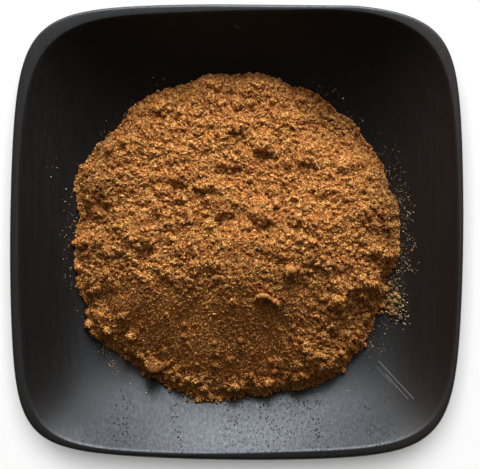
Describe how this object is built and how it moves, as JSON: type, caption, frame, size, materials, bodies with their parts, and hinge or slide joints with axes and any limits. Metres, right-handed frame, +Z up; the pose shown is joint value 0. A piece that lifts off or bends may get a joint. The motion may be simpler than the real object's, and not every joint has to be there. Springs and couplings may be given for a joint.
{
  "type": "bowl of pumpkin pie spice",
  "caption": "Rounded-square black-stained wooden prep bowl with a low heap of ground pumpkin pie spice lying loose in its shallow hollow.",
  "frame": {"origin": "on the table, under the middle of the bowl", "axes": "+Z up out of the bowl, +X to the right, +Y to the far side, away from the near slope of the heap"},
  "size_m": [0.14, 0.1406, 0.0343],
  "materials": {
    "black_stained_wood": "black-brown stain under a thin satin oil or lacquer, with open pores and faint grain",
    "ground_spice": "matt, loose, warm brown powder with lighter and darker specks"
  },
  "bodies": {
    "root": {"bowl": "black_stained_wood", "spice_heap": "ground_spice"}
  },
  "joints": []
}
